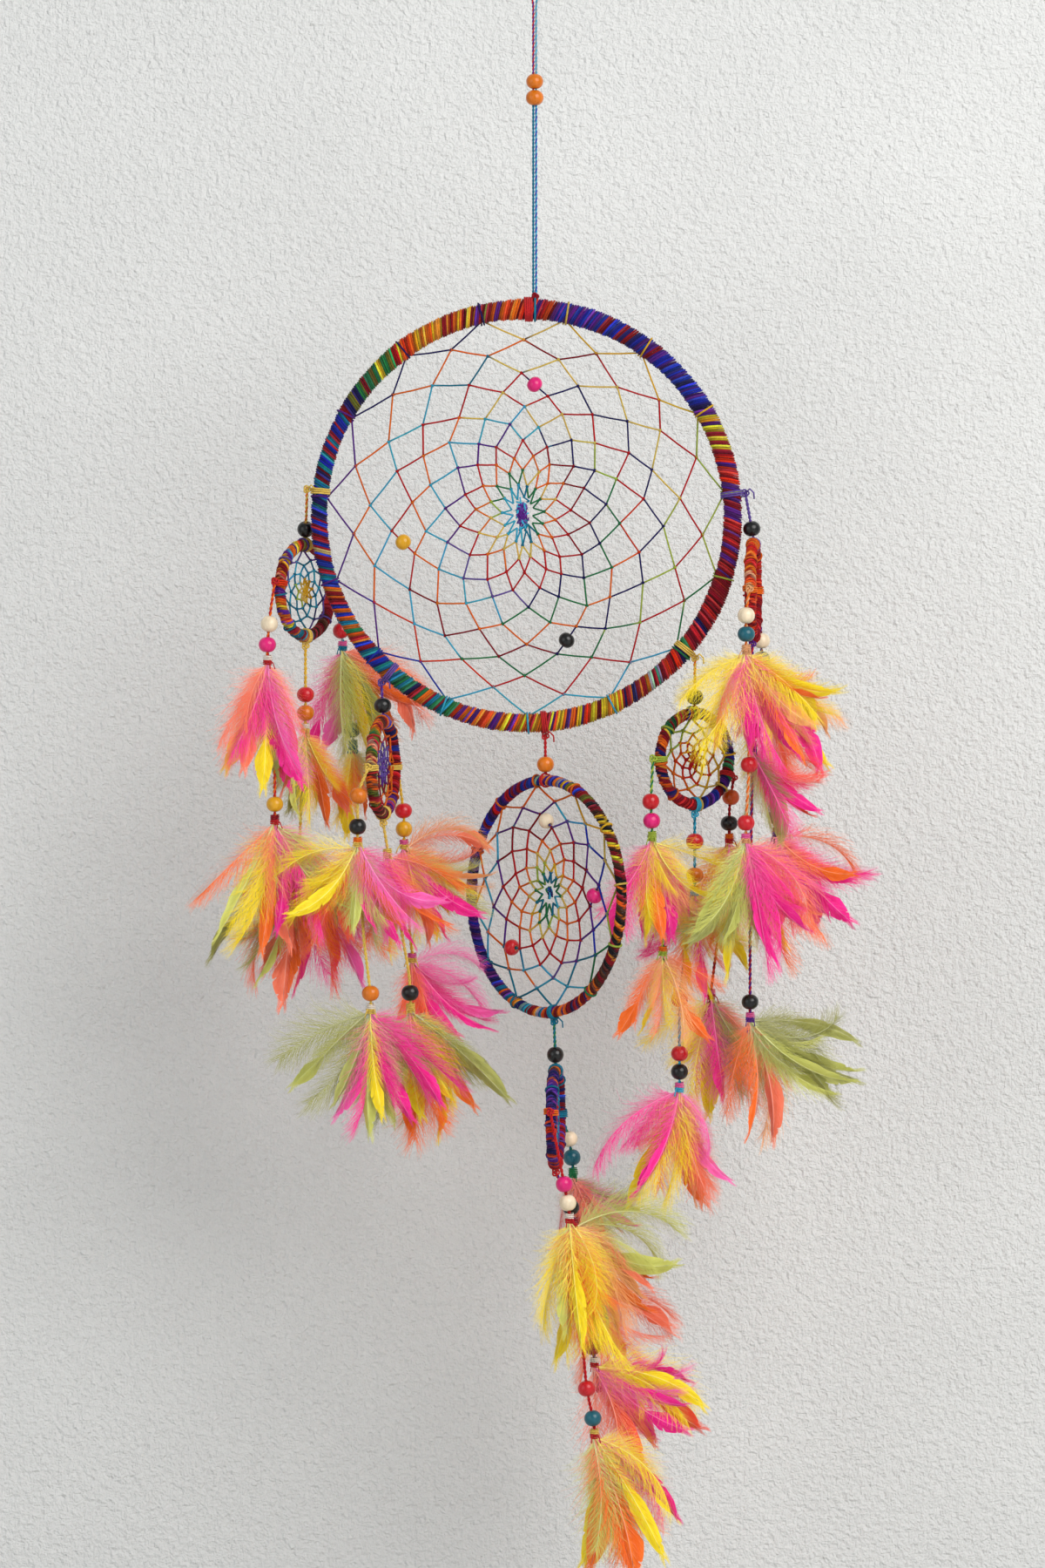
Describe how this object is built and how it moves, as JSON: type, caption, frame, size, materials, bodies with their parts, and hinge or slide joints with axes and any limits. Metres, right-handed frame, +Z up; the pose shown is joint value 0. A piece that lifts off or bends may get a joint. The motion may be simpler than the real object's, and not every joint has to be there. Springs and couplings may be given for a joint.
{
  "type": "dream catcher",
  "caption": "Hanging dream catcher: wool-wrapped hoops with thread webs, linked by short cords, and dangling strands of wooden beads and feather bunches.",
  "frame": {"origin": "the point where a nail carries the top of the hanging loop", "axes": "+Z up along the hanging cord, -Y out of the front of the large hoop, +X to the right of a viewer in front"},
  "size_m": [0.295, 0.0866, 0.736],
  "materials": {
    "steel_ring": "satin",
    "wool": "matte",
    "thread": "matte",
    "cord": "matte",
    "painted_wood": "gloss",
    "feather": "matte"
  },
  "bodies": {
    "hanger": {"hanging_cord": "cord"},
    "sliders": {"slider_beads": "painted_wood"},
    "large_hoop": {"main_hoop_core": "steel_ring", "main_hoop_wrap": "wool", "main_web": "thread", "main_web_beads": "painted_wood"},
    "centre_drop": {"centre_drop": "painted_wood"},
    "middle_hoop": {"middle_hoop_core": "steel_ring", "middle_hoop_wrap": "wool", "middle_web": "thread"},
    "left_upper_drop": {"left_upper_drop": "painted_wood"},
    "left_upper_hoop": {"left_upper_hoop_core": "steel_ring", "left_upper_hoop_wrap": "wool", "left_upper_web": "thread"},
    "left_lower_drop": {"left_lower_drop": "painted_wood"},
    "left_lower_hoop": {"left_lower_hoop_core": "steel_ring", "left_lower_hoop_wrap": "wool", "left_lower_web": "thread"},
    "right_upper_drop": {"right_upper_drop": "painted_wood"},
    "right_upper_hoop": {"right_upper_hoop_core": "steel_ring", "right_upper_hoop_wrap": "wool", "right_upper_web": "thread"},
    "right_lower_drop": {"right_lower_drop": "painted_wood"},
    "right_lower_hoop": {"right_lower_hoop_core": "steel_ring", "right_lower_hoop_wrap": "wool", "right_lower_web": "thread"},
    "bottom_drop": {"bottom_drop": "painted_wood"},
    "bottom_hoop": {"bottom_hoop_core": "steel_ring", "bottom_hoop_wrap": "wool", "bottom_web": "thread"},
    "left_upper_outer_strand": {"left_upper_outer_cord": "cord", "left_upper_outer_feathers": "feather"},
    "left_upper_middle_strand": {"left_upper_middle_cord": "cord", "left_upper_middle_feathers": "feather"},
    "left_upper_inner_strand": {"left_upper_inner_cord": "cord", "left_upper_inner_feathers": "feather"},
    "left_lower_outer_strand": {"left_lower_outer_cord": "cord", "left_lower_outer_feathers": "feather"},
    "left_lower_middle_strand": {"left_lower_middle_cord": "cord", "left_lower_middle_feathers": "feather"},
    "left_lower_inner_strand": {"left_lower_inner_cord": "cord", "left_lower_inner_feathers": "feather"},
    "right_upper_front_strand": {"right_upper_front_cord": "cord", "right_upper_front_feathers": "feather"},
    "right_upper_middle_strand": {"right_upper_middle_cord": "cord", "right_upper_middle_feathers": "feather"},
    "right_upper_back_strand": {"right_upper_back_cord": "cord", "right_upper_back_feathers": "feather"},
    "right_lower_inner_strand": {"right_lower_inner_cord": "cord", "right_lower_inner_feathers": "feather"},
    "right_lower_middle_strand": {"right_lower_middle_cord": "cord", "right_lower_middle_feathers": "feather"},
    "right_lower_outer_strand": {"right_lower_outer_cord": "cord", "right_lower_outer_feathers": "feather"},
    "bottom_front_strand": {"bottom_front_cord": "cord", "bottom_front_feathers": "feather"},
    "bottom_middle_strand": {"bottom_middle_cord": "cord", "bottom_middle_feathers": "feather"},
    "bottom_back_strand": {"bottom_back_cord": "cord", "bottom_back_feathers": "feather"}
  },
  "joints": [
    {"name": "slider_beads_slide", "type": "slide", "parent": "hanger", "child": "sliders", "axis": [0, 0, 1], "range_m": [-0.08, 0.02]},
    {"name": "large_hoop_turn", "type": "hinge", "parent": "hanger", "child": "large_hoop", "pos_m": [0, 0, -0.157], "axis": [0, 0, 1], "range_deg": [-60, 60]},
    {"name": "middle_drop_swing", "type": "hinge", "parent": "large_hoop", "child": "centre_drop", "pos_m": [0.00483, 0, -0.35791], "axis": [0, 1, 0], "range_deg": [-5, 5]},
    {"name": "middle_hoop_turn", "type": "hinge", "parent": "centre_drop", "child": "middle_hoop", "pos_m": [0.005, 0, -0.4316], "axis": [0, 0, 1], "range_deg": [-8, 8]},
    {"name": "left_upper_drop_swing", "type": "hinge", "parent": "large_hoop", "child": "left_upper_drop", "pos_m": [-0.10454, 0, -0.24466], "axis": [0, 1, 0], "range_deg": [-2, 4]},
    {"name": "left_upper_hoop_turn", "type": "hinge", "parent": "left_upper_drop", "child": "left_upper_hoop", "pos_m": [-0.1056, 0.01, -0.2908], "axis": [0, 0, 1], "range_deg": [-8, 8]},
    {"name": "left_lower_drop_swing", "type": "hinge", "parent": "large_hoop", "child": "left_lower_drop", "pos_m": [-0.07046, 0, -0.33345], "axis": [0, 1, 0], "range_deg": [-5, 4]},
    {"name": "left_lower_hoop_turn", "type": "hinge", "parent": "left_lower_drop", "child": "left_lower_hoop", "pos_m": [-0.0696, 0, -0.3724], "axis": [0, 0, 1], "range_deg": [-8, 8]},
    {"name": "right_upper_drop_swing", "type": "hinge", "parent": "large_hoop", "child": "right_upper_drop", "pos_m": [0.09674, 0, -0.24641], "axis": [0, 1, 0], "range_deg": [-5, 0.5]},
    {"name": "right_upper_hoop_turn", "type": "hinge", "parent": "right_upper_drop", "child": "right_upper_hoop", "pos_m": [0.1004, 0, -0.2912], "axis": [0, 0, 1], "range_deg": [-8, 8]},
    {"name": "right_lower_drop_swing", "type": "hinge", "parent": "large_hoop", "child": "right_lower_drop", "pos_m": [0.0736, 0, -0.32211], "axis": [0, 1, 0], "range_deg": [-5, 1]},
    {"name": "right_lower_hoop_turn", "type": "hinge", "parent": "right_lower_drop", "child": "right_lower_hoop", "pos_m": [0.0736, 0.004, -0.3684], "axis": [0, 0, 1], "range_deg": [-8, 8]},
    {"name": "bottom_drop_swing", "type": "hinge", "parent": "middle_hoop", "child": "bottom_drop", "pos_m": [0.00887, -0.00461, -0.48888], "axis": [0, 1, 0], "range_deg": [-5, 5]},
    {"name": "bottom_hoop_turn", "type": "hinge", "parent": "bottom_drop", "child": "bottom_hoop", "pos_m": [0.0096, -0.0045, -0.5326], "axis": [0, 0, 1], "range_deg": [-12, 12]},
    {"name": "left_upper_outer_strand_swing", "type": "hinge", "parent": "left_upper_hoop", "child": "left_upper_outer_strand", "pos_m": [-0.11898, -0.01141, -0.28725], "axis": [0, 1, 0], "range_deg": [-8, 8]},
    {"name": "left_upper_middle_strand_swing", "type": "hinge", "parent": "left_upper_hoop", "child": "left_upper_middle_strand", "pos_m": [-0.1056, 0.01, -0.3163], "axis": [0, 1, 0], "range_deg": [-8, 8]},
    {"name": "left_upper_inner_strand_swing", "type": "hinge", "parent": "left_upper_hoop", "child": "left_upper_inner_strand", "pos_m": [-0.09255, 0.03089, -0.2974], "axis": [0, 1, 0], "range_deg": [-3, 8]},
    {"name": "left_lower_outer_strand_swing", "type": "hinge", "parent": "left_lower_hoop", "child": "left_lower_outer_strand", "pos_m": [-0.07577, -0.02474, -0.3724], "axis": [0, 1, 0], "range_deg": [-8, 8]},
    {"name": "left_lower_middle_strand_swing", "type": "hinge", "parent": "left_lower_hoop", "child": "left_lower_middle_strand", "pos_m": [-0.0696, 0, -0.3979], "axis": [0, 1, 0], "range_deg": [-8, 8]},
    {"name": "left_lower_inner_strand_swing", "type": "hinge", "parent": "left_lower_hoop", "child": "left_lower_inner_strand", "pos_m": [-0.06343, 0.02474, -0.3724], "axis": [0, 1, 0], "range_deg": [-8, 8]},
    {"name": "right_upper_front_strand_swing", "type": "hinge", "parent": "right_upper_hoop", "child": "right_upper_front_strand", "pos_m": [0.09774, -0.02536, -0.2912], "axis": [0, 1, 0], "range_deg": [-8, 8]},
    {"name": "right_upper_middle_strand_swing", "type": "hinge", "parent": "right_upper_hoop", "child": "right_upper_middle_strand", "pos_m": [0.09971, -0.00656, -0.31583], "axis": [0, 1, 0], "range_deg": [-8, 8]},
    {"name": "right_upper_back_strand_swing", "type": "hinge", "parent": "right_upper_hoop", "child": "right_upper_back_strand", "pos_m": [0.10307, 0.02536, -0.2912], "axis": [0, 1, 0], "range_deg": [-8, 5]},
    {"name": "right_lower_inner_strand_swing", "type": "hinge", "parent": "right_lower_hoop", "child": "right_lower_inner_strand", "pos_m": [0.05407, -0.01239, -0.3684], "axis": [0, 1, 0], "range_deg": [-8, 5]},
    {"name": "right_lower_middle_strand_swing", "type": "hinge", "parent": "right_lower_hoop", "child": "right_lower_middle_strand", "pos_m": [0.0736, 0.004, -0.3939], "axis": [0, 1, 0], "range_deg": [-8, 8]},
    {"name": "right_lower_outer_strand_swing", "type": "hinge", "parent": "right_lower_hoop", "child": "right_lower_outer_strand", "pos_m": [0.09196, 0.0194, -0.37712], "axis": [0, 1, 0], "range_deg": [-8, 8]},
    {"name": "bottom_front_strand_swing", "type": "hinge", "parent": "bottom_hoop", "child": "bottom_front_strand", "pos_m": [0.00696, -0.02961, -0.52905], "axis": [0, 1, 0], "range_deg": [-8, 8]},
    {"name": "bottom_middle_strand_swing", "type": "hinge", "parent": "bottom_hoop", "child": "bottom_middle_strand", "pos_m": [0.0096, -0.0045, -0.5581], "axis": [0, 1, 0], "range_deg": [-8, 8]},
    {"name": "bottom_back_strand_swing", "type": "hinge", "parent": "bottom_hoop", "child": "bottom_back_strand", "pos_m": [0.01226, 0.02086, -0.5326], "axis": [0, 1, 0], "range_deg": [-8, 8]}
  ]
}
